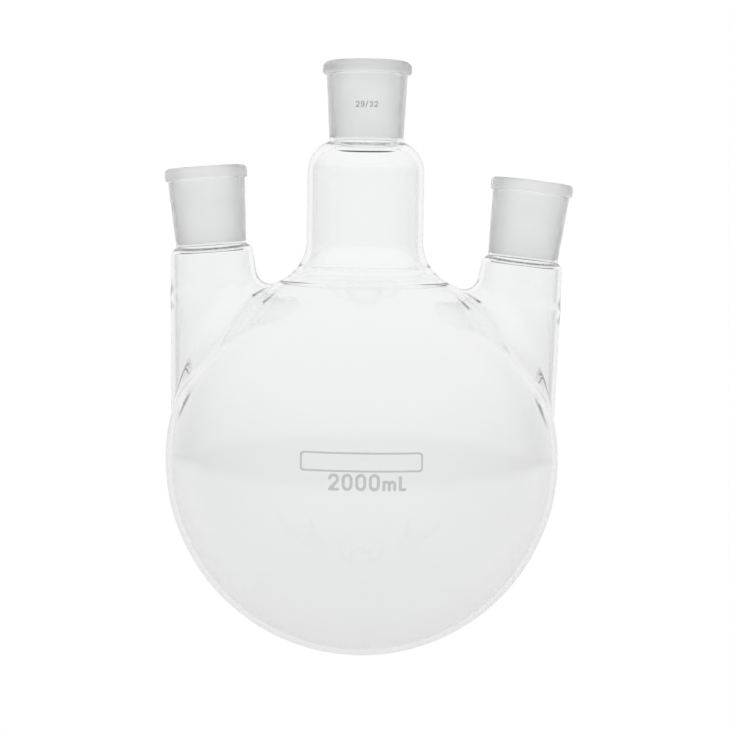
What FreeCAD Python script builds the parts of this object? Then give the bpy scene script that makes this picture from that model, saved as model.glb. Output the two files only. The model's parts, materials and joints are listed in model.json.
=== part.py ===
import FreeCAD, Part
import Sketcher
import math
import os

# Three-neck round bottom flask of clear borosilicate glass, 2000 ml, in millimetres.
# Origin: the lowest point of the bulb, on the axis of the centre neck. +Z is up, the side
# necks lie along X and the printed marks face -Y.
os.makedirs("parts", exist_ok=True)
doc = FreeCAD.newDocument("three_neck_flask")

# ---- Driving dimensions ---------------------------------------------------------------------
# Lengths in millimetres, angles in degrees. The bulb and the two diameters of a ground joint
# are the standard ones for a 2000 ml flask with 29/32 sockets.
SIZES = {
    "bulb_diameter": 166.0,
    "bulb_wall": 2.4,
    # centre neck: a straight tube that flares into the bulb and has a rounded shoulder; its
    # length is from the level of the bulb's top to where the shoulder begins
    "centre_neck_diameter": 49.0,
    "centre_flare_radius": 19.0,
    "centre_neck_length": 38.2,
    "centre_shoulder_radius": 13.0,
    # side necks: slightly tapered tubes; the root angle is measured from the flask's axis to
    # the point where the neck's own axis meets the bulb
    "side_neck_wall": 2.0,
    "side_neck_taper": 4.4,
    "side_flare_radius": 6.0,
    "side_shoulder_radius": 3.5,
    "left_root_angle": 48.1,
    "left_tilt": 4.85,
    "left_neck_length": 34.2,
    "left_neck_radius": 17.0,
    "right_root_angle": 49.6,
    "right_tilt": 6.1,
    "right_neck_length": 32.1,
    "right_neck_radius": 16.8,
    # ground sockets: bore 29.2 at the mouth, narrowing one in ten over 32 of length
    "joint_mouth_diameter": 29.2,
    "joint_taper": 0.1,
    "joint_length": 32.0,
    "joint_foot": 0.8,
    "mouth_round": 0.5,
    "centre_socket_wall": 2.6,
    "centre_rim_width": 1.4,
    "centre_rim_height": 5.5,
    "side_socket_wall": 1.75,
    "side_rim_width": 0.85,
    "side_rim_height": 5.2,
    # the seams lie just outside the flares
    "seam_margin": 0.35,
    # fired marks: heights and spacings are between the middles of the strokes, and the two
    # rises are above the bulb's middle
    "mark_thickness": 0.1,
    "capacity_height": 5.4,
    "capacity_stroke": 1.15,
    "capacity_spacing": 2.15,
    "capacity_middle_x": 2.35,
    "capacity_rise": 1.8,
    "panel_width": 47.0,
    "panel_height": 7.5,
    "panel_stroke": 0.72,
    "panel_corner": 1.4,
    "panel_rise": 9.4,
    "joint_size_height": 2.05,
    "joint_size_stroke": 0.36,
    "joint_size_spacing": 0.85,
    "joint_size_drop": 18.6,
}

sheet = doc.addObject("Spreadsheet::Sheet", "Sizes")
for row, (word, size) in enumerate(SIZES.items(), start=1):
    sheet.set(f"A{row}", word)
    sheet.set(f"B{row}", str(size))
    sheet.setAlias(f"B{row}", word)
doc.recompute()

# ---- Expressions shared by several pieces ---------------------------------------------------
BULB_RADIUS = "(Sizes.bulb_diameter / 2)"
SHOULDER_LEVEL = "(Sizes.bulb_diameter + Sizes.centre_neck_length)"
CENTRE_TOP = f"({SHOULDER_LEVEL} + Sizes.centre_shoulder_radius)"
JOINT_FOOT_RADIUS = "((Sizes.joint_mouth_diameter - Sizes.joint_length * Sizes.joint_taper) / 2)"
SIDES = {"left": -1, "right": 1}


def placement(x, z, turn="0"):
    """An expression that places a piece in the XZ plane, turned about +Y."""
    return f"placement(vector({x}; 0; {z}); rotation(vector(0; 1; 0); {turn}))"


def side_depth(side):
    """Length of a side neck's axis between the bulb's equator and the bulb's surface."""
    return f"({BULB_RADIUS} * cos(Sizes.{side}_root_angle) / cos(Sizes.{side}_tilt))"


def side_start_x(side):
    """Where a side neck's axis crosses the bulb's equator plane."""
    root_x = f"{BULB_RADIUS} * sin(Sizes.{side}_root_angle)"
    return f"({SIDES[side]} * ({root_x} - {side_depth(side)} * sin(Sizes.{side}_tilt)))"


def side_length(side):
    """Length of a side neck's axis between the bulb's equator and the socket."""
    return f"({side_depth(side)} + Sizes.{side}_neck_length)"


def side_place(side, distance="0"):
    """Placement on a side neck's axis, the given distance up from the equator plane."""
    x = f"{side_start_x(side)} + {SIDES[side]} * ({distance}) * sin(Sizes.{side}_tilt)"
    z = f"{BULB_RADIUS} + ({distance}) * cos(Sizes.{side}_tilt)"
    return placement(x, z, f"{SIDES[side]} * Sizes.{side}_tilt")


def add(body, kind, name, place, **sizes):
    """Add a bound PartDesign primitive to a body, its seam line turned to the back."""
    primitive = body.newObject(kind, name)
    for key, expression in sizes.items():
        primitive.setExpression(key, expression)
    primitive.setExpression("Placement", place + " * rotation(vector(0; 0; 1); 90)")
    doc.recompute()
    return primitive


def add_fillet(body, name, radius, wanted):
    """Round the edges of the body's last feature that the test picks."""
    base = body.Tip
    edges = [f"Edge{number}" for number, edge in enumerate(base.Shape.Edges, 1) if wanted(edge)]
    fillet = body.newObject("PartDesign::Fillet", name)
    fillet.Base = (base, edges)
    fillet.setExpression("Radius", radius)
    doc.recompute()
    return fillet


# ---- The blown form -------------------------------------------------------------------------
# The outside and the hollow of the glass are the same form, one set in by the wall: a sphere,
# a straight centre neck and two tapered side necks, flared where they meet and rounded at
# their shoulders, each neck ending in a short tube as wide as the socket that it carries.
def neck_top(side):
    """Middle of a neck's top edge, from the sheet's values."""
    if side == "centre":
        shoulder_level = sheet.bulb_diameter + sheet.centre_neck_length
        return 0.0, shoulder_level + sheet.centre_shoulder_radius
    tilt = math.radians(sheet.get(f"{side}_tilt"))
    root = math.radians(sheet.get(f"{side}_root_angle"))
    reach = sheet.get(f"{side}_neck_length")
    x = sheet.bulb_diameter / 2 * math.sin(root) + reach * math.sin(tilt)
    z = sheet.bulb_diameter / 2 * (1 + math.cos(root)) + reach * math.cos(tilt)
    return SIDES[side] * x, z


def is_ring(edge):
    """Closed and not a seam line: a weld or a top edge."""
    return edge.isClosed() and edge.Length > 1 and edge.BoundBox.YLength > 1


def is_top_of(side):
    """A test for the ring at the top of one neck, inside or outside."""
    x, z = neck_top(side)

    def test(edge):
        middle = edge.CenterOfMass
        return is_ring(edge) and math.hypot(middle.x - x, middle.z - z) < 2 * sheet.bulb_wall
    return test


def is_weld_of(side):
    """A test for the ring where one neck meets the bulb: its middle lies inside the bulb."""
    direction = SIDES.get(side, 0)
    radius = sheet.bulb_diameter / 2

    def test(edge):
        middle = edge.CenterOfMass
        here = middle.x * direction > 1 if direction else abs(middle.x) < 1
        return is_ring(edge) and here and math.hypot(middle.x, middle.z - radius) < radius
    return test


def blown_form(name, wall, side_wall, foot_radii, reach):
    body = doc.addObject("PartDesign::Body", name)
    middle = placement("0", BULB_RADIUS)
    add(body, "PartDesign::AdditiveSphere", name + "_bulb", middle,
        Radius=f"{BULB_RADIUS} - {wall}")
    add(body, "PartDesign::AdditiveCylinder", name + "_centre_neck", middle,
        Radius=f"Sizes.centre_neck_diameter / 2 - {wall}",
        Height=f"{CENTRE_TOP} - {wall} - {BULB_RADIUS}")
    for side in SIDES:
        length = f"({side_length(side)} - {side_wall})"
        top = f"Sizes.{side}_neck_radius - {side_wall}"
        add(body, "PartDesign::AdditiveCone", f"{name}_{side}_neck", side_place(side),
            Height=length, Radius2=top,
            Radius1=f"{top} + {length} * tan(Sizes.side_neck_taper)")

    add_fillet(body, name + "_centre_flare", f"Sizes.centre_flare_radius + {wall}",
               is_weld_of("centre"))
    for side in SIDES:
        add_fillet(body, f"{name}_{side}_flare", f"Sizes.side_flare_radius + {wall}",
                   is_weld_of(side))
    add_fillet(body, name + "_centre_shoulder", f"Sizes.centre_shoulder_radius - {wall}",
               is_top_of("centre"))
    for side in SIDES:
        add_fillet(body, f"{name}_{side}_shoulder",
                   f"Sizes.side_shoulder_radius - {side_wall}", is_top_of(side))

    add(body, "PartDesign::AdditiveCylinder", name + "_centre_foot",
        placement("0", SHOULDER_LEVEL), Radius=foot_radii["centre"],
        Height=f"Sizes.centre_shoulder_radius + {reach}")
    for side in SIDES:
        start = f"({side_length(side)} - Sizes.side_shoulder_radius)"
        add(body, "PartDesign::AdditiveCylinder", f"{name}_{side}_foot",
            side_place(side, start), Radius=foot_radii[side],
            Height=f"Sizes.side_shoulder_radius + {reach}")
    return body


side_foot = f"{JOINT_FOOT_RADIUS} + Sizes.side_socket_wall"
outside = blown_form("outside", "0", "0", {
    "centre": f"{JOINT_FOOT_RADIUS} + Sizes.centre_socket_wall",
    "left": side_foot,
    "right": side_foot,
}, reach="0")
hollow = blown_form("hollow", "Sizes.bulb_wall", "Sizes.side_neck_wall",
                    dict.fromkeys(("centre", "left", "right"), JOINT_FOOT_RADIUS),
                    reach="Sizes.joint_foot")

glass = doc.addObject("Part::Cut", "glass_wall")
glass.Base = outside
glass.Tool = hollow

# ---- Bulb and necks -------------------------------------------------------------------------
# The seams are cut by cones from the bulb's centre, so they stand square to the wall. A neck
# keeps its whole flare; the seam runs just outside it. All angles are from the flask's axis.
MARGIN = "Sizes.seam_margin * 1deg"


def flare_edge(wall_distance, lean):
    """Angle at which a flare of the side neck runs out on the bulb."""
    flare = "Sizes.side_flare_radius"
    return f"(({lean}) * 1deg + asin(({wall_distance} {flare}) / ({BULB_RADIUS} + {flare})))"


def seam_cone(name, axis_angle, half_angle, length):
    cone = doc.addObject("Part::Cone", name)
    cone.Radius1 = 0
    cone.setExpression("Height", length)
    cone.setExpression("Radius2", f"({length}) * tan({half_angle})")
    cone.setExpression("Placement", placement("0", BULB_RADIUS, axis_angle)
                       + " * rotation(vector(0; 0; 1); 90)")
    return cone


def boolean(kind, name, base, tool):
    result = doc.addObject(kind, name)
    result.Base = base
    result.Tool = tool
    return result


blank = glass
for side in SIDES:
    root, tilt = f"Sizes.{side}_root_angle", f"Sizes.{side}_tilt"
    taper = "Sizes.side_neck_taper"
    root_radius = f"(Sizes.{side}_neck_radius + Sizes.{side}_neck_length * tan({taper}))"
    inner_distance = (f"{BULB_RADIUS} * sin({root} - {tilt} - {taper})"
                      f" - {root_radius} * cos({taper}) -")
    outer_distance = (f"{BULB_RADIUS} * sin({root} - {tilt} + {taper})"
                      f" + {root_radius} * cos({taper}) +")
    inner_edge = flare_edge(inner_distance, f"{tilt} + {taper}")
    outer_edge = flare_edge(outer_distance, f"{tilt} - {taper}")
    cone = seam_cone(f"{side}_seam", f"{SIDES[side]} * ({inner_edge} + {outer_edge}) / 2",
                     f"({outer_edge} - {inner_edge}) / 2 + {MARGIN}",
                     f"{BULB_RADIUS} + Sizes.{side}_neck_length + 2 * Sizes.{side}_neck_radius")
    boolean("Part::Common", f"{side}_neck", blank, cone)
    blank = boolean("Part::Cut", f"glass_without_{side}_neck", blank, cone)

centre_flare_edge = ("asin((Sizes.centre_neck_diameter / 2 + Sizes.centre_flare_radius)"
                     f" / ({BULB_RADIUS} + Sizes.centre_flare_radius))")
centre_cone = seam_cone("centre_seam", "0", f"{centre_flare_edge} + {MARGIN}", CENTRE_TOP)
boolean("Part::Common", "centre_neck", blank, centre_cone)
boolean("Part::Cut", "flask_bulb", blank, centre_cone)
doc.recompute()


# ---- Ground sockets -------------------------------------------------------------------------
# A socket is a tube whose bore and outside both taper, on a short plain foot, with a rounded
# bead around the mouth. It stands on its neck's top face, on the neck's own axis.
BEAD_ROUND = 0.9


def socket(label, kind, place):
    """A socket of the centre or the side kind, which differ in wall and rim."""
    wall = f"Sizes.{kind}_socket_wall"
    rim_width = f"Sizes.{kind}_rim_width"
    rim_height = f"Sizes.{kind}_rim_height"
    body = doc.addObject("PartDesign::Body", label)
    plane = next(item for item in body.Origin.OriginFeatures if item.Role == "XZ_Plane")
    sketch = body.newObject("Sketcher::SketchObject", label + "_profile")
    sketch.AttachmentSupport = [(plane, "")]
    sketch.MapMode = "FlatFace"

    top = "Sizes.joint_foot + Sizes.joint_length"
    mouth = "Sizes.joint_mouth_diameter / 2"
    under_rim = f"{mouth} + {wall} - {rim_height} * Sizes.joint_taper / 2"
    corners = [
        (JOINT_FOOT_RADIUS, None),
        (f"{JOINT_FOOT_RADIUS} + {wall}", None),
        (f"{JOINT_FOOT_RADIUS} + {wall}", "Sizes.joint_foot"),
        (under_rim, f"{top} - {rim_height}"),
        (f"{mouth} + {wall} + {rim_width}", f"{top} - {rim_height}"),
        (f"{mouth} + {wall} + {rim_width}", top),
        (mouth, top),
        (JOINT_FOOT_RADIUS, "Sizes.joint_foot"),
    ]
    rough = [(13, 0), (16, 0), (16, 1), (17, 28), (19, 28), (19, 33), (15, 33), (13, 1)]
    points = [FreeCAD.Vector(x, y, 0) for x, y in rough]
    for start, end in zip(points, points[1:] + points[:1]):
        sketch.addGeometry(Part.LineSegment(start, end), False)
    # "rough" only starts the solver: every corner takes its place from the sheet
    for number, (radius, height) in enumerate(corners):
        before = (number - 1) % len(corners)
        sketch.addConstraint(Sketcher.Constraint("Coincident", before, 2, number, 1))
        across = sketch.addConstraint(
            Sketcher.Constraint("DistanceX", -1, 1, number, 1, rough[number][0]))
        sketch.setExpression(f"Constraints[{across}]", radius)
        if height is None:
            sketch.addConstraint(Sketcher.Constraint("PointOnObject", number, 1, -1))
            continue
        up = sketch.addConstraint(
            Sketcher.Constraint("DistanceY", -1, 1, number, 1, rough[number][1]))
        sketch.setExpression(f"Constraints[{up}]", height)

    turned = body.newObject("PartDesign::Revolution", label + "_turned")
    turned.Profile = sketch
    turned.ReferenceAxis = (sketch, ["V_Axis"])
    turned.Angle = 360
    doc.recompute()

    mouth_width = sheet.joint_mouth_diameter
    bead_width = mouth_width + 2 * (sheet.get(f"{kind}_socket_wall")
                                    + sheet.get(f"{kind}_rim_width"))
    add_fillet(body, label + "_bead", f"{rim_width} * {BEAD_ROUND}",
               lambda edge: is_ring(edge) and abs(edge.BoundBox.XLength - bead_width) < 0.01)
    add_fillet(body, label + "_mouth", "Sizes.mouth_round",
               lambda edge: is_ring(edge) and abs(edge.BoundBox.XLength - mouth_width) < 0.01)
    body.setExpression("Placement", place)
    return body


socket("centre_socket", "centre", placement("0", CENTRE_TOP))
for side in SIDES:
    socket(f"{side}_socket", "side", side_place(side, side_length(side)))
doc.recompute()

# ---- Fired marks ----------------------------------------------------------------------------
# Thin enamel on the front of the glass. A character is drawn one unit tall as strokes of
# straight lines and arcs, and each stroke is a band with round ends.
def line(*points):
    """Straight strokes from point to point."""
    return [("line", *start, *end) for start, end in zip(points, points[1:])]


def arc(x, y, radius, start, end):
    """A curved stroke about (x, y) from one angle to another, in degrees."""
    return [("arc", x, y, radius, start, end)]


BOWL = 0.28
ARCH = 0.19
CHARACTERS = {
    "0": (2 * BOWL, line((0, BOWL), (0, 1 - BOWL)) + arc(BOWL, 1 - BOWL, BOWL, 180, 0)
          + line((2 * BOWL, 1 - BOWL), (2 * BOWL, BOWL)) + arc(BOWL, BOWL, BOWL, 0, -180)),
    "2": (2 * BOWL, arc(BOWL, 1 - BOWL, BOWL, 170, -45)
          + line((1.7071 * BOWL, 1 - 1.7071 * BOWL), (0, 0), (2 * BOWL, 0))),
    "3": (2 * BOWL, arc(BOWL, 0.76, 0.24, 160, -90) + arc(BOWL, 0.26, 0.26, 90, -160)),
    "9": (2 * BOWL, arc(BOWL, 1 - BOWL, BOWL, 0, 180) + arc(BOWL, 1 - BOWL, BOWL, 180, 360)
          + line((2 * BOWL, 1 - BOWL), (2 * BOWL, BOWL)) + arc(BOWL, BOWL, BOWL, 0, -150)),
    "/": (0.36, line((0, -0.05), (0.36, 1.05))),
    "m": (4 * ARCH, line((0, 0), (0, 0.54)) + arc(ARCH, 0.35, ARCH, 180, 0)
          + line((2 * ARCH, 0.35), (2 * ARCH, 0)) + arc(3 * ARCH, 0.35, ARCH, 180, 0)
          + line((4 * ARCH, 0.35), (4 * ARCH, 0))),
    "L": (0.33, line((0, 0.87), (0, 0), (0.33, 0))),
}


def polar(x, y, radius, angle):
    turn = math.radians(angle)
    return FreeCAD.Vector(x + radius * math.cos(turn), y + radius * math.sin(turn), 0)


def dot(middle, width):
    return Part.Face(Part.Wire(Part.makeCircle(width / 2, middle)))


def band(stroke, width):
    """One stroke as a flat band of the given width, with a dot at each end."""
    kind, *values = stroke
    if kind == "line":
        start, end = FreeCAD.Vector(*values[:2]), FreeCAD.Vector(*values[2:])
        along = (end - start).normalize()
        across = FreeCAD.Vector(-along.y, along.x, 0) * (width / 2)
        outline = [start + across, end + across, end - across, start - across, start + across]
        flat = Part.Face(Part.makePolygon(outline))
        return [flat, dot(start, width), dot(end, width)]
    x, y, radius, begin, finish = values
    rims = [[polar(x, y, size, angle) for angle in (begin, (begin + finish) / 2, finish)]
            for size in (radius - width / 2, radius + width / 2)]
    edges = [Part.Arc(*rim).toShape() for rim in rims]
    edges += [Part.LineSegment(rims[0][end], rims[1][end]).toShape() for end in (0, 2)]
    flat = Part.Face(Part.Wire(Part.__sortEdges__(edges)))
    return [flat, dot(polar(x, y, radius, begin), width), dot(polar(x, y, radius, finish), width)]


def lettering(text, height, stroke, spacing):
    """A line of characters as flat faces, centred on the origin of the XY plane."""
    gap = spacing / height
    width = sum(CHARACTERS[letter][0] for letter in text) + gap * (len(text) - 1)
    faces, x = [], -width / 2
    for letter in text:
        advance, strokes = CHARACTERS[letter]
        bands = [flat.extrude(FreeCAD.Vector(0, 0, 1))
                 for part in strokes for flat in band(part, stroke / height)]
        solid = bands[0].fuse(bands[1:]).removeSplitter()
        flat = next(face for face in solid.Faces if face.BoundBox.ZMax < 0.5)
        flat.translate(FreeCAD.Vector(x, -0.5, 0))
        flat.scale(height, FreeCAD.Vector(0, 0, 0))
        faces.append(flat)
        x += advance + gap
    return faces


def fired_mark(label, faces, middle_x, middle_z, skin):
    """Project flat faces along +Y onto a thin skin of the glass."""
    solids = []
    for face in faces:
        face.rotate(FreeCAD.Vector(0, 0, 0), FreeCAD.Vector(1, 0, 0), 90)
        face.translate(FreeCAD.Vector(middle_x, -sheet.bulb_diameter, middle_z))
        beam = face.extrude(FreeCAD.Vector(0, sheet.bulb_diameter, 0))
        solids.extend(beam.common(skin).Solids)
    mark = doc.addObject("Part::Feature", label)
    mark.Shape = Part.Compound(solids)
    return mark


def rounded_plate(width, height, corner):
    """A flat rectangle with round corners, centred on the origin."""
    plate = Part.makePlane(width, height, FreeCAD.Vector(-width / 2, -height / 2, 0))
    solid = plate.extrude(FreeCAD.Vector(0, 0, 1))
    upright = [edge for edge in solid.Edges if edge.BoundBox.ZLength > 0.5]
    rounded = solid.makeFillet(corner, upright)
    return next(face for face in rounded.Faces if face.BoundBox.ZMax < 0.5)


bulb_radius = sheet.bulb_diameter / 2
bulb_middle = FreeCAD.Vector(0, 0, bulb_radius)
bulb_skin = Part.makeSphere(bulb_radius + sheet.mark_thickness, bulb_middle).cut(
    Part.makeSphere(bulb_radius, bulb_middle))

capacity = lettering("2000mL", sheet.capacity_height, sheet.capacity_stroke,
                     sheet.capacity_spacing)
fired_mark("capacity_mark", capacity, sheet.capacity_middle_x,
           bulb_radius + sheet.capacity_rise, bulb_skin)

panel = rounded_plate(sheet.panel_width, sheet.panel_height, sheet.panel_corner)
window = rounded_plate(sheet.panel_width - 2 * sheet.panel_stroke,
                       sheet.panel_height - 2 * sheet.panel_stroke,
                       sheet.panel_corner - sheet.panel_stroke / 2)
fired_mark("marking_panel", panel.cut(window).Faces, 0, bulb_radius + sheet.panel_rise,
           bulb_skin)

foot_z = neck_top("centre")[1] + sheet.joint_foot
foot_outside = (sheet.joint_mouth_diameter - sheet.joint_length * sheet.joint_taper) / 2
foot_outside += sheet.centre_socket_wall
mouth_outside = sheet.joint_mouth_diameter / 2 + sheet.centre_socket_wall
socket_base = FreeCAD.Vector(0, 0, foot_z)
socket_skin = Part.makeCone(foot_outside + sheet.mark_thickness,
                            mouth_outside + sheet.mark_thickness,
                            sheet.joint_length, socket_base).cut(
    Part.makeCone(foot_outside, mouth_outside, sheet.joint_length, socket_base))
joint_size = lettering("29/32", sheet.joint_size_height, sheet.joint_size_stroke,
                       sheet.joint_size_spacing)
fired_mark("joint_size_mark", joint_size, 0,
           foot_z + sheet.joint_length - sheet.joint_size_drop, socket_skin)

# ---- Check and write ------------------------------------------------------------------------
doc.recompute()
NODES = [
    "flask_bulb", "centre_neck", "centre_socket", "left_neck", "left_socket", "right_neck",
    "right_socket", "capacity_mark", "marking_panel", "joint_size_mark",
]
for item in doc.Objects:
    if "Invalid" in item.State or "Error" in item.State:
        raise RuntimeError(f"{item.Name} failed: {item.State}")
for name in NODES:
    shape = doc.getObjectsByLabel(name)[0].Shape
    if shape.isNull() or not shape.isValid() or not shape.Solids:
        raise RuntimeError(f"{name} is not a valid solid")
for name in NODES:
    doc.getObjectsByLabel(name)[0].Shape.exportStep(f"parts/{name}.step")
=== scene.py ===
import json
import math

import bmesh
import bpy
from mathutils import Matrix, Vector


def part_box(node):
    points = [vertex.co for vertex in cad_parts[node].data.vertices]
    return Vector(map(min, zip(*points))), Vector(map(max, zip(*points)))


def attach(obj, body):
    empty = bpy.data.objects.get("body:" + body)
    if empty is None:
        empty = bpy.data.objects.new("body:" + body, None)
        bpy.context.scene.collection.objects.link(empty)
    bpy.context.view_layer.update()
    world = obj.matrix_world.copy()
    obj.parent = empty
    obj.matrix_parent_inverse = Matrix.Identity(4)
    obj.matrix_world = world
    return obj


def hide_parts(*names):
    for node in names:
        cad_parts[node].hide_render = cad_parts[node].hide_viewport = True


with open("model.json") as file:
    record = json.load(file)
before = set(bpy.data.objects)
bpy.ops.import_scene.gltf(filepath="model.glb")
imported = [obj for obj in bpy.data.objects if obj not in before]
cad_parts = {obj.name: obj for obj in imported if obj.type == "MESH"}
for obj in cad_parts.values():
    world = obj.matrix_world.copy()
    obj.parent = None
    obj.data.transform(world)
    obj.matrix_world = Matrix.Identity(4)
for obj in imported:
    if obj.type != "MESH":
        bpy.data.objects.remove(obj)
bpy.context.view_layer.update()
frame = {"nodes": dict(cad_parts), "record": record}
mounts = {mount["name"]: mount for mount in frame["record"]["mounts"]}
MM = 0.001

# ---- Blown bulb -----------------------------------------------------------------------------
# The bulb is a thin sphere of borosilicate glass, blown in one piece. Its wall is even, and the
# glassblower opens it where each neck is sealed on: three round holes, cut square to the wall.
BULB_WALL = 2.4 * MM
BULB_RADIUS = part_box("flask_bulb")[1].y
BULB_MIDDLE = Vector((0, 0, BULB_RADIUS))
SHELL_DETAIL = 7
SEAM_LIP = 0.25 * MM
MERGE = 1e-7
WAVE_HEIGHT = 0.01 * MM
DRAG_HEIGHT = 0.16 * MM
STREAKS_ALONG, STREAKS_ACROSS = 60, 520
# share of painted shade where the clear glass is seen at a slant
SLANT_SHADE = 0.3
SOFT = {"interpolation_type": "SMOOTHSTEP"}
# the saddle between the bulb and each side neck, and the way its glass was drawn
SADDLES = (((-0.043, 0, 0.155), (-0.77, 0, -0.64)), ((0.0495, 0, 0.151), (0.77, 0, -0.64)))


class Number:
    """A shader socket, or a node's first output, that can stand in a sum."""

    def __init__(self, finish, socket):
        self.finish = finish
        self.socket = socket

    def _maths(self, operation, first, second):
        return self.finish.node("ShaderNodeMath", {"operation": operation}, first, second)

    def __add__(self, other):
        return self._maths("ADD", self, other)

    def __sub__(self, other):
        return self._maths("SUBTRACT", self, other)

    def __rsub__(self, other):
        return self._maths("SUBTRACT", other, self)

    def __mul__(self, other):
        return self._maths("MULTIPLY", self, other)

    __radd__ = __add__
    __rmul__ = __mul__


class Finish:
    """A material under construction; node() adds one node with its settings and inputs."""

    def __init__(self, name, holder=None):
        self.block = holder or bpy.data.materials.new(name)
        self.block.use_nodes = True
        self.tree = self.block.node_tree
        self.tree.nodes.clear()

    def node(self, kind, settings=None, *values, **named):
        made = self.tree.nodes.new(kind)
        for key, value in (settings or {}).items():
            setattr(made, key, value)
        named = {key.replace("_", " "): value for key, value in named.items()}
        for key, value in [*enumerate(values), *named.items()]:
            if isinstance(value, Number):
                self.tree.links.new(value.socket, made.inputs[key])
            else:
                made.inputs[key].default_value = value
        return Number(self, made.outputs[0]) if made.outputs else made

    def part(self, number, output):
        """Another output of a node that has several."""
        return Number(self, number.socket.node.outputs[output])

    def coords(self, output="Object"):
        return self.part(self.node("ShaderNodeTexCoord"), output)

    def up(self, vector):
        return self.part(self.node("ShaderNodeSeparateXYZ", None, vector), "Z")

    def measure(self, operation, first, second):
        """A number from two vectors, such as their distance."""
        settings = {"operation": operation}
        return self.part(self.node("ShaderNodeVectorMath", settings, first, second), "Value")


def clear_glass():
    """Flame-polished borosilicate: smooth but never quite even, with drag marks by the welds."""
    finish = Finish("clear_glass")
    place = finish.coords()
    height, facing_up = finish.up(place), finish.up(finish.coords("Normal"))
    waves = finish.node("ShaderNodeTexNoise", None, place, Scale=26.0, Detail=1.0, Roughness=0.4)
    relief = WAVE_HEIGHT * waves
    for saddle, drag in SADDLES:
        along = finish.measure("DOT_PRODUCT", place, drag)
        across = finish.measure("DOT_PRODUCT", place, (-drag[2], 0, drag[0]))
        streaks = finish.node("ShaderNodeCombineXYZ", None, STREAKS_ALONG * along,
                              STREAKS_ACROSS * across, 0.0)
        drags = finish.node("ShaderNodeTexNoise", None, streaks, Scale=1.0, Detail=1.0)
        near = finish.node("ShaderNodeMapRange", SOFT, finish.measure("DISTANCE", place, saddle),
                           From_Min=0.003, From_Max=0.017, To_Min=DRAG_HEIGHT, To_Max=0.0)
        relief = relief + near * drags
    bump = finish.node("ShaderNodeBump", None, Strength=1.0, Distance=1.0, Height=relief)
    # depth is painted shade: the clear glass is made darker towards the bottom, from 0.97 at the
    # top to 0.865 at the table
    depth = finish.node("ShaderNodeMapRange", None, height, From_Min=0.0, From_Max=0.17,
                        To_Min=0.865, To_Max=0.97)
    slant = finish.part(finish.node("ShaderNodeLayerWeight", None, 0.5), "Facing")
    # painted shade, partly for the longer way light takes through the wall: glass seen at a
    # slant is darker, apart from the necks' level shoulders
    steep = slant * slant
    on_neck = finish.node("ShaderNodeMapRange", None, height, From_Min=0.145, From_Max=0.165,
                          To_Min=0.0, To_Max=0.9)
    edge = SLANT_SHADE * (steep * steep) * (1 - on_neck * (facing_up * facing_up))
    tint = finish.node("ShaderNodeVectorMath", {"operation": "SCALE"}, (0.995, 1.0, 0.998),
                       Scale=depth - edge)
    surface = finish.node("ShaderNodeBsdfPrincipled", None, Base_Color=tint, Roughness=0.0,
                          IOR=1.473, Transmission_Weight=1.0, Normal=bump)
    finish.node("ShaderNodeOutputMaterial", None, surface)
    return finish.block


def sealed_seam():
    """Where two pieces are melted into one there is no surface left to see."""
    finish = Finish("sealed_seam")
    surface = finish.node("ShaderNodeBsdfPrincipled", None, Base_Color=(1, 1, 1, 1), Alpha=0.0)
    finish.node("ShaderNodeOutputMaterial", None, surface)
    return finish.block


CLEAR, SEAM = clear_glass(), sealed_seam()
GLASS = [CLEAR, SEAM]


def finish_piece(name, shape, materials, node):
    """Turn a bmesh into a smooth-shaded piece that stands for one node of the model."""
    mesh = bpy.data.meshes.new(name)
    shape.to_mesh(mesh)
    shape.free()
    for material in materials:
        mesh.materials.append(material)
    piece = bpy.data.objects.new(name, mesh)
    bpy.context.scene.collection.objects.link(piece)
    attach(piece, "root")
    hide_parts(node)
    return piece


def crease(edges):
    for edge in edges:
        edge.smooth = False


def seam_of(node, side):
    """Axis and half angle of a neck's seam cone, read from the box of the neck.

    The lowest point of a side neck is the foot of its seam, on the bulb's inner surface.
    """
    low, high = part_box(node)
    half = math.asin(high.y / BULB_RADIUS)
    if not side:
        return Vector((0, 0, 1)), half
    lowest = math.acos((low.z - BULB_RADIUS) / (BULB_RADIUS - BULB_WALL))
    lean = lowest - half
    return Vector((side * math.sin(lean), 0, math.cos(lean))), half


NECK_SEAMS = {
    "centre_neck": seam_of("centre_neck", 0),
    "left_neck": seam_of("left_neck", -1),
    "right_neck": seam_of("right_neck", 1),
}


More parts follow.
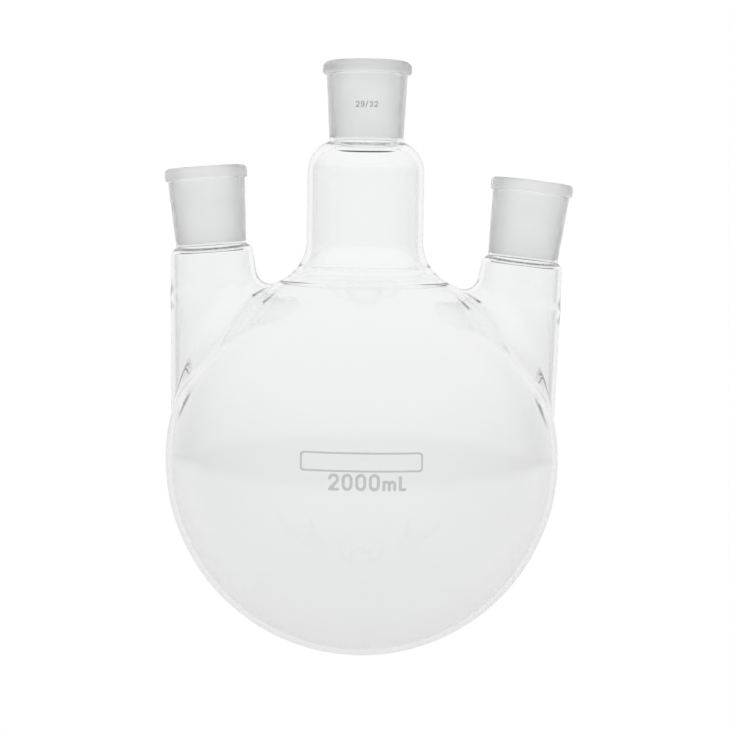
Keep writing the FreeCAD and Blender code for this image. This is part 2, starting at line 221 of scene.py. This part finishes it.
def blow_bulb():
    """An open ball, its copy as the inner wall, and a band between the two in each hole."""
    bulb = bmesh.new()
    bmesh.ops.create_icosphere(bulb, subdivisions=SHELL_DETAIL, radius=BULB_RADIUS)
    for axis, half in NECK_SEAMS.values():
        for lip, clear in ((SEAM_LIP, False), (0, True)):
            angle = half + lip / BULB_RADIUS
            bmesh.ops.bisect_plane(
                bulb, geom=bulb.verts[:] + bulb.edges[:] + bulb.faces[:], dist=MERGE,
                plane_co=axis * BULB_RADIUS * math.cos(angle), plane_no=axis,
                clear_outer=clear)
    for vert in bulb.verts:
        vert.co *= BULB_RADIUS / vert.co.length
    for face in bulb.faces:
        face.smooth = True
    copied = bmesh.ops.duplicate(bulb, geom=bulb.verts[:] + bulb.edges[:] + bulb.faces[:])
    inner_faces = [item for item in copied["geom"] if isinstance(item, bmesh.types.BMFace)]
    inner_verts = [item for item in copied["geom"] if isinstance(item, bmesh.types.BMVert)]
    bmesh.ops.scale(bulb, verts=inner_verts, vec=[1 - BULB_WALL / BULB_RADIUS] * 3)
    bmesh.ops.reverse_faces(bulb, faces=inner_faces)

    rims = [edge for edge in bulb.edges if edge.is_boundary]
    crease(rims)
    for axis, half in NECK_SEAMS.values():
        reach = half + 2 * SEAM_LIP / BULB_RADIUS
        near = [edge for edge in rims
                if all(vert.co.angle(axis) < reach for vert in edge.verts)]
        bridged = bmesh.ops.bridge_loops(bulb, edges=near)
        for face in bridged["faces"]:
            face.material_index = GLASS.index(SEAM)
    bmesh.ops.translate(bulb, verts=bulb.verts, vec=BULB_MIDDLE)
    return bulb


finish_piece("blown_bulb", blow_bulb(), GLASS, "flask_bulb")

# ---- Centre neck ----------------------------------------------------------------------------
# The centre neck is a length of wide tube. Its foot is flared into the bulb in the flame, where
# two faint weld rings stay, and its top is drawn in over a shoulder to the socket's width.
NECK_WALL = 2.4 * MM
NECK_RADIUS = 24.5 * MM
FLARE = 19.0 * MM
SHOULDER = 13.0 * MM
JOINT_FOOT = 0.8 * MM
JOINT_LENGTH = 32.0 * MM
JOINT_FOOT_RADIUS = 13.0 * MM
JOINT_MOUTH_RADIUS = 14.6 * MM
CENTRE_JOINT_WALL = 2.6 * MM
TURN_STEPS = 288
TOUCHING = 1e-6
OUTER_KNEE, INNER_KNEE = 0.7 * MM, 3.0 * MM
WELDS = (162.6 * MM, 158.7 * MM)
WELD_SPREAD = 1.0 * MM
WELD_RIDGE = 0.22 * MM
CENTRE_TOP = mounts["centre_joint"]["pos_m"][2] - JOINT_LENGTH - JOINT_FOOT


def arc(across, up, radius, start, end, count):
    """Points on an arc in a piece's section, angles in radians from the outward direction."""
    angles = [start + (end - start) * step / (count - 1) for step in range(count)]
    return [Vector((across + radius * math.cos(a), 0, up + radius * math.sin(a)))
            for a in angles]


def straight(start, end, count):
    """Points strictly between two others."""
    return [start.lerp(end, step / (count + 1)) for step in range(1, count + 1)]


def shoulder_arc(across, up, shoulder, start, foot_radius, knee):
    """A rounded shoulder that runs on, over a small knee, into the upright foot of a socket.

    The knee is an arc that touches both the shoulder and the foot, so it fixes where each ends.
    """
    reach = foot_radius + knee - across
    rise = math.sqrt((shoulder + knee) ** 2 - reach ** 2)
    turn = math.atan2(rise, reach)
    bend = arc(across, up, shoulder, start, turn, 22)
    return bend + arc(foot_radius + knee, up + rise, knee, math.pi + turn, math.pi, 8)[1:]


def turn_on_axis(rows):
    """Spin a closed section into a ring."""
    shape = bmesh.new()
    verts = [shape.verts.new(point) for point in rows]
    edges = [shape.edges.new((a, b)) for a, b in zip(verts, verts[1:] + verts[:1])]
    bmesh.ops.spin(shape, geom=verts + edges, axis=(0, 0, 1), cent=(0, 0, 0),
                   angle=math.tau, steps=TURN_STEPS, use_merge=True)
    bmesh.ops.remove_doubles(shape, verts=shape.verts, dist=MERGE)
    bmesh.ops.recalc_face_normals(shape, faces=shape.faces)
    return shape


def smooth_but_for(shape, is_seam):
    """Shade a shape smooth, with its seam faces flat, creased and of the seam's material."""
    for face in shape.faces:
        seam = is_seam(face)
        face.smooth = not seam
        face.material_index = GLASS.index(SEAM if seam else CLEAR)
        if seam:
            crease(face.edges)


def draw_centre_neck():
    """The outer and inner lines of the wall, from the seam up to the socket, turned as one."""
    _, half = NECK_SEAMS["centre_neck"]

    def section(wall, foot_radius, knee):
        sphere, tube = BULB_RADIUS - wall, NECK_RADIUS - wall
        flare, shoulder = FLARE + wall, SHOULDER - wall
        height = math.sqrt((sphere + flare) ** 2 - (tube + flare) ** 2)
        touch = math.asin((tube + flare) / (sphere + flare))
        lip = half - SEAM_LIP / BULB_RADIUS
        seam = arc(0, BULB_RADIUS, sphere, math.pi / 2 - half, math.pi / 2 - lip, 2)
        blend = arc(tube + flare, BULB_RADIUS + height, flare,
                    1.5 * math.pi - touch, math.pi, 44)
        for point in blend:
            ridge = sum(math.exp(-((point.z - level) / WELD_SPREAD) ** 2) for level in WELDS)
            point.x += ridge * (WELD_RIDGE if wall == 0 else -WELD_RIDGE)
        bend = shoulder_arc(NECK_RADIUS - SHOULDER, CENTRE_TOP - SHOULDER, shoulder, 0,
                            foot_radius, knee)
        foot = Vector((foot_radius, 0, CENTRE_TOP))
        return seam + blend + straight(blend[-1], bend[0], 10) + bend + [foot]

    outer = section(0, JOINT_FOOT_RADIUS + CENTRE_JOINT_WALL, OUTER_KNEE)
    inner = section(NECK_WALL, JOINT_FOOT_RADIUS, INNER_KNEE)
    shape = turn_on_axis(outer + inner[::-1])

    def is_seam(face):
        at_socket = all(abs(vert.co.z - CENTRE_TOP) < TOUCHING for vert in face.verts)
        at_bulb = all(abs((vert.co - BULB_MIDDLE).angle(Vector((0, 0, 1))) - half) < 1e-4
                      for vert in face.verts)
        return at_socket or at_bulb
    smooth_but_for(shape, is_seam)
    return shape


finish_piece("centre_neck_glass", draw_centre_neck(), GLASS, "centre_neck")

# ---- Side necks -----------------------------------------------------------------------------
# A side neck is a narrower tube that widens towards the bulb. It is sealed to the bulb's flank
# so that its outer side runs straight on into the sphere and its inner side makes a saddle.
SIDE_WALL = 2.0 * MM
SIDE_TAPER = math.radians(4.4)
SADDLE_FLARE = 6.0 * MM
FLANK_FLARE = 34.0 * MM
FLANK_SPREAD = math.radians(140)
SIDE_SHOULDER = 3.5 * MM
SIDE_JOINT_WALL = 1.75 * MM
SIDE_OUTER_KNEE, SIDE_INNER_KNEE = 0.15 * MM, 1.4 * MM
SIDE_RADII = {"left": 17.0 * MM, "right": 16.8 * MM}
SIDE_WELD = -21.0 * MM
SIDE_WELD_SPREAD = 3.0 * MM
SIDE_WELD_RIDGE = 0.3 * MM


def side_joint(side):
    """Foot of a side socket and the direction of its axis, from its mount."""
    mount = mounts[side + "_joint"]
    axis = Vector(mount["axis"]).normalized()
    return Vector(mount["pos_m"]) - axis * (JOINT_LENGTH + JOINT_FOOT), axis


def side_flare(angle):
    """Radius of the flare: tight in the saddle and on the far side, wide on the flanks."""
    turn = abs(math.remainder(angle, math.tau))
    if turn > FLANK_SPREAD:
        return SADDLE_FLARE
    return SADDLE_FLARE + ((FLANK_FLARE - SADDLE_FLARE)
                           * math.sin(math.pi * turn / FLANK_SPREAD) ** 2)


def sleeve_line(side, wall, side_wall, foot_radius, knee, angle):
    """One side neck's wall at one angle round its axis, from the socket down to the seam.

    wall is the depth below the bulb's outside and side_wall that below the neck's outside.
    """
    foot, axis = side_joint(side)
    outward = Vector((axis.z, 0, -axis.x)) * math.copysign(1, axis.x)
    spoke = outward * math.cos(angle) + Vector((0, 1, 0)) * math.sin(angle)
    sphere, flare = BULB_RADIUS - wall, side_flare(angle) + wall
    slope = math.tan(SIDE_TAPER)
    shoulder = SIDE_SHOULDER - side_wall
    wall_start = SIDE_RADII[side] - side_wall * (1 + slope)

    # the section of the sphere by the half plane through the neck's axis
    reach = foot - BULB_MIDDLE
    middle = Vector((-reach.dot(spoke), -reach.dot(axis)))
    radius = math.sqrt(sphere ** 2 - reach.length_squared + middle.length_squared)

    # the flare that touches the wall and that section
    gap = wall_start + flare / math.cos(SIDE_TAPER) - middle.x
    half_b = slope * gap + middle.y
    c = gap ** 2 + middle.y ** 2 - (radius + flare) ** 2
    level = (half_b + math.sqrt(half_b ** 2 - (1 + slope ** 2) * c)) / (1 + slope ** 2)
    centre = Vector((gap + middle.x - slope * level, level))
    end = (middle - centre).angle_signed(Vector((1, 0)))
    bend = arc(centre.x, centre.y, flare, math.pi + SIDE_TAPER, end % math.tau, 14)

    # the sphere from the flare's end to the seam
    seam_axis, half = NECK_SEAMS[side + "_neck"]
    across, up = spoke.dot(seam_axis), axis.dot(seam_axis)
    constant = reach.dot(seam_axis) + middle.x * across + middle.y * up
    size = radius * math.hypot(across, up)

    def sphere_angle(cone):
        return math.atan2(up, across) - math.acos((sphere * math.cos(cone) - constant) / size)
    start = math.atan2(centre.y - middle.y, centre.x - middle.x)
    lip = sphere_angle(half - SEAM_LIP / BULB_RADIUS)
    skirt = arc(middle.x, middle.y, radius, start, lip, 22)[1:]
    skirt += arc(middle.x, middle.y, radius, sphere_angle(half), lip, 2)[:1]

    # the shoulder below the socket
    bend_x = wall_start + (SIDE_SHOULDER + side_wall) * slope
    bend_x -= shoulder / math.cos(SIDE_TAPER)
    cap = shoulder_arc(bend_x, -SIDE_SHOULDER, shoulder, SIDE_TAPER, foot_radius, knee)
    neck = [Vector((foot_radius, 0, 0))] + cap[::-1]
    tube = straight(neck[-1], bend[0], 26)
    for point in tube:
        ridge = math.exp(-((point.z - SIDE_WELD) / SIDE_WELD_SPREAD) ** 2)
        point.x += ridge * (SIDE_WELD_RIDGE if wall == 0 else -SIDE_WELD_RIDGE)
    line = neck + tube + bend + skirt
    return [foot + axis * point.z + spoke * point.x for point in line]


def draw_side_neck(side):
    """Spin a straight ladder of rows, then lay each row on the neck's line at its angle."""
    lines = {}

    def line_at(angle):
        key = round(angle / math.tau * TURN_STEPS) % TURN_STEPS
        if key not in lines:
            turn = key * math.tau / TURN_STEPS
            outer = sleeve_line(side, 0, 0, JOINT_FOOT_RADIUS + SIDE_JOINT_WALL,
                                SIDE_OUTER_KNEE, turn)
            inner = sleeve_line(side, BULB_WALL, SIDE_WALL, JOINT_FOOT_RADIUS,
                                SIDE_INNER_KNEE, turn)
            lines[key] = outer + inner[::-1]
        return lines[key]

    rows = len(line_at(0))
    shape = bmesh.new()
    verts = [shape.verts.new((1, 0, row)) for row in range(rows)]
    edges = [shape.edges.new(pair) for pair in zip(verts, verts[1:])]
    bmesh.ops.spin(shape, geom=verts + edges, axis=(0, 0, 1), cent=(0, 0, 0),
                   angle=math.tau, steps=TURN_STEPS, use_merge=True)
    bmesh.ops.remove_doubles(shape, verts=shape.verts, dist=1e-4)
    bmesh.ops.bridge_loops(shape, edges=[edge for edge in shape.edges if edge.is_boundary])
    seam_rows = ({0, rows - 1}, {rows // 2 - 1, rows // 2})
    is_seam_face = {face: {round(vert.co.z) for vert in face.verts} in seam_rows
                    for face in shape.faces}
    for vert in shape.verts:
        vert.co = line_at(math.atan2(vert.co.y, vert.co.x))[round(vert.co.z)]
    bmesh.ops.recalc_face_normals(shape, faces=shape.faces)
    smooth_but_for(shape, is_seam_face.get)
    return shape


for side in SIDE_RADII:
    finish_piece(f"{side}_neck_glass", draw_side_neck(side), GLASS, f"{side}_neck")


# ---- Ground sockets -------------------------------------------------------------------------
# A socket is thick tube, pressed to a one in ten taper and ground matt inside with grit. Its
# outside keeps a satin skin, and a heavy matt bead is worked round the mouth to strengthen it.
def ground_glass(name, roughness, chalk, shade):
    """Glass made matt with grit; chalk is the share of light that the pits scatter."""
    finish = Finish(name)
    place = finish.coords()
    grain = finish.node("ShaderNodeTexNoise", None, place, Scale=2600.0, Detail=2.0)
    clouds = finish.node("ShaderNodeTexNoise", None, place, Scale=70.0, Detail=3.0)
    bump = finish.node("ShaderNodeBump", None, Strength=0.25, Distance=0.0001, Height=grain)
    clear = finish.node(
        "ShaderNodeBsdfPrincipled", None, Base_Color=(0.997 * shade, shade, shade, 1),
        Roughness=roughness + 0.12 * clouds, IOR=1.473, Transmission_Weight=1.0, Normal=bump)
    pits = finish.node("ShaderNodeBsdfTranslucent", None, Color=(0.9, 0.905, 0.905, 1),
                       Normal=bump)
    surface = finish.node("ShaderNodeMixShader", None, chalk + 0.1 * clouds, clear, pits)
    finish.node("ShaderNodeOutputMaterial", None, surface)
    return finish.block


GROUND = ground_glass("ground_glass", 0.36, 0.06, 0.983)
SATIN = ground_glass("satin_glass", 0.14, 0.02, 0.983)
# painted shade: the same ground glass made darker, for the centre socket's bead only
SHADED_BEAD = ground_glass("heavy_bead_glass", 0.36, 0.06, 0.83)
BORE, SKIN, BEAD = 2, 3, 4
BEAD_FILLET = 0.7 * MM
BEAD_UNDERSIDE = 0.9
BORE_SLACK = 0.01 * MM
MOUTH_ROUND = 0.5 * MM
CROWN_FLATNESS = 0.8


def draw_socket(wall, bead_width, bead_height, foot, axis):
    """The outside, the bead and the bore as one line from the foot's edge, turned and placed."""
    top = JOINT_FOOT + JOINT_LENGTH
    slope = (JOINT_MOUTH_RADIUS - JOINT_FOOT_RADIUS) / JOINT_LENGTH
    under = top - bead_height
    outside = JOINT_MOUTH_RADIUS + wall - bead_height * slope
    bead = outside + bead_width + bead_height * slope
    belly = BEAD_UNDERSIDE * bead_width
    crown = bead - JOINT_MOUTH_RADIUS - MOUTH_ROUND
    quarter = math.pi / 2

    outer = [Vector((JOINT_FOOT_RADIUS + wall, 0, 0)),
             Vector((JOINT_FOOT_RADIUS + wall, 0, JOINT_FOOT))]
    hollow = arc(outside + BEAD_FILLET, under - BEAD_FILLET, BEAD_FILLET,
                 math.pi - slope, quarter, 6)
    outer += straight(outer[-1], hollow[0], 14) + hollow
    outer += arc(bead - belly, under + belly, belly, -quarter, 0, 8)
    for point in arc(bead - crown, -crown, crown, 0, quarter, 14):
        outer.append(Vector((point.x, 0, top + CROWN_FLATNESS * point.z)))
    lip = arc(JOINT_MOUTH_RADIUS + MOUTH_ROUND, top - MOUTH_ROUND, MOUTH_ROUND,
              quarter, math.pi, 6)[1:]
    bore = [Vector((JOINT_FOOT_RADIUS, 0, JOINT_FOOT)), Vector((JOINT_FOOT_RADIUS, 0, 0))]
    shape = turn_on_axis(outer + lip + straight(lip[-1], bore[0], 16) + bore)
    smooth_but_for(shape, lambda face: all(abs(vert.co.z) < TOUCHING for vert in face.verts))

    for face in shape.faces:
        middle = face.calc_center_median()
        inside = middle.xy.length < JOINT_FOOT_RADIUS + slope * middle.z + BORE_SLACK
        if middle.z > JOINT_FOOT:
            face.material_index = BORE if inside else BEAD if middle.z > under else SKIN
    tilt = Vector((0, 0, 1)).rotation_difference(axis).to_matrix().to_4x4()
    bmesh.ops.transform(shape, matrix=Matrix.Translation(foot) @ tilt, verts=shape.verts)
    return shape


finish_piece("centre_socket_glass",
             draw_socket(CENTRE_JOINT_WALL, 1.4 * MM, 5.5 * MM, Vector((0, 0, CENTRE_TOP)),
                         Vector((0, 0, 1))),
             GLASS + [GROUND, SATIN, SHADED_BEAD], "centre_socket")
for side in SIDE_RADII:
    finish_piece(f"{side}_socket_glass",
                 draw_socket(SIDE_JOINT_WALL, 0.85 * MM, 5.2 * MM, *side_joint(side)),
                 GLASS + [GROUND, SATIN, GROUND], f"{side}_socket")


# ---- Fired marks ----------------------------------------------------------------------------
# The capacity and the plain panel are screen printed on the bulb in white enamel and fired on,
# and the socket's size is printed in a greyer one. The print is matt and a little uneven.
def enamel(name, shade):
    finish = Finish(name)
    place = finish.coords()
    speckle = finish.node("ShaderNodeTexNoise", None, place, Scale=1400.0, Detail=3.0)
    bump = finish.node("ShaderNodeBump", None, Strength=0.3, Distance=0.00005, Height=speckle)
    tint = finish.node("ShaderNodeVectorMath", {"operation": "SCALE"}, (0.99, 1.0, 1.01),
                       Scale=shade - 0.04 + 0.08 * speckle)
    surface = finish.node("ShaderNodeBsdfPrincipled", None, Base_Color=tint,
                          Roughness=0.45 + 0.3 * speckle, Normal=bump)
    finish.node("ShaderNodeOutputMaterial", None, surface)
    return finish.block


WHITE_ENAMEL, GREY_ENAMEL = enamel("white_enamel", 0.62), enamel("grey_enamel", 0.36)
MARKS = {"capacity_mark": WHITE_ENAMEL, "marking_panel": WHITE_ENAMEL,
         "joint_size_mark": GREY_ENAMEL}
for name, print_material in MARKS.items():
    mark = frame["nodes"][name]
    mark.data.materials.clear()
    mark.data.materials.append(print_material)

# ---- Table, surroundings and camera ---------------------------------------------------------
# The flask stands on a plain white table in front of a lit white wall, under a soft lamp. The
# table is no lamp but glows, with a painted pool of light that is dimmer towards its edges; the
# room's sides are dimmer too, which is what draws the edges of clear glass.
TABLE_WIDTH = 2.4
TABLE_BACK = 0.62
TABLE_LEVEL = -0.2 * MM
PAINTED_POOL_CENTRE = (0, 0.2, 0)
DIM = 0.48


def lay_table():
    shape = bmesh.new()
    bmesh.ops.create_grid(shape, x_segments=1, y_segments=1, size=TABLE_WIDTH / 2)
    bmesh.ops.translate(shape, verts=shape.verts,
                        vec=(0, TABLE_BACK - TABLE_WIDTH / 2, TABLE_LEVEL))
    mesh = bpy.data.meshes.new("table")
    shape.to_mesh(mesh)
    shape.free()
    table = bpy.data.objects.new("table", mesh)
    bpy.context.scene.collection.objects.link(table)
    finish = Finish("lit_white")
    place = finish.coords()
    # painted pool of light: the table's glow is brightest near the flask and fades towards its
    # edges
    light = finish.node("ShaderNodeMapRange", SOFT, finish.measure("DISTANCE", place, PAINTED_POOL_CENTRE),
                        From_Min=0.5, From_Max=1.15, To_Min=1.0, To_Max=DIM)
    glow = finish.node("ShaderNodeEmission", None, Color=(1, 1, 1, 1), Strength=light)
    finish.node("ShaderNodeOutputMaterial", None, glow)
    mesh.materials.append(finish.block)


lay_table()

world = bpy.data.worlds.new("room")
bpy.context.scene.world = world
room = Finish("room", world)
direction = room.node("ShaderNodeSeparateXYZ", None, room.coords("Generated"))
ahead, above = room.part(direction, "Y"), room.part(direction, "Z")
wall = room.node("ShaderNodeMapRange", SOFT, ahead, From_Min=0.4, From_Max=0.93,
                 To_Min=0.0, To_Max=0.6)
lamp = room.node("ShaderNodeMapRange", SOFT, above, From_Min=0.0, From_Max=0.7,
                 To_Min=0.0, To_Max=0.48)
front = room.node("ShaderNodeMapRange", SOFT, ahead, From_Min=-0.3, From_Max=-0.7,
                  To_Min=0.0, To_Max=0.1)
light = room.node("ShaderNodeMath", {"operation": "MINIMUM"}, wall + lamp + front + DIM, 1.0)
background = room.node("ShaderNodeBackground", None, Color=(1, 1, 1, 1), Strength=light)
room.node("ShaderNodeOutputWorld", None, background)

VIEW_TARGET = Vector((0.0008, 0, 0.1227))
VIEW_DISTANCE = 0.763
VIEW_DROP = math.radians(4.76)
VIEW_ROLL = math.radians(0.85)
camera_data = bpy.data.cameras.new("camera")
camera_data.sensor_width = 36.0
camera_data.lens = 88.8
camera = bpy.data.objects.new("camera", camera_data)
bpy.context.scene.collection.objects.link(camera)
back = Vector((0, -math.cos(VIEW_DROP), math.sin(VIEW_DROP)))
camera.location = VIEW_TARGET + back * VIEW_DISTANCE
aim = back.to_track_quat("Z", "Y")
camera.rotation_euler = (aim.to_matrix() @ Matrix.Rotation(VIEW_ROLL, 3, "Z")).to_euler()
bpy.context.scene.camera = camera
bpy.context.scene.view_settings.view_transform = "Standard"
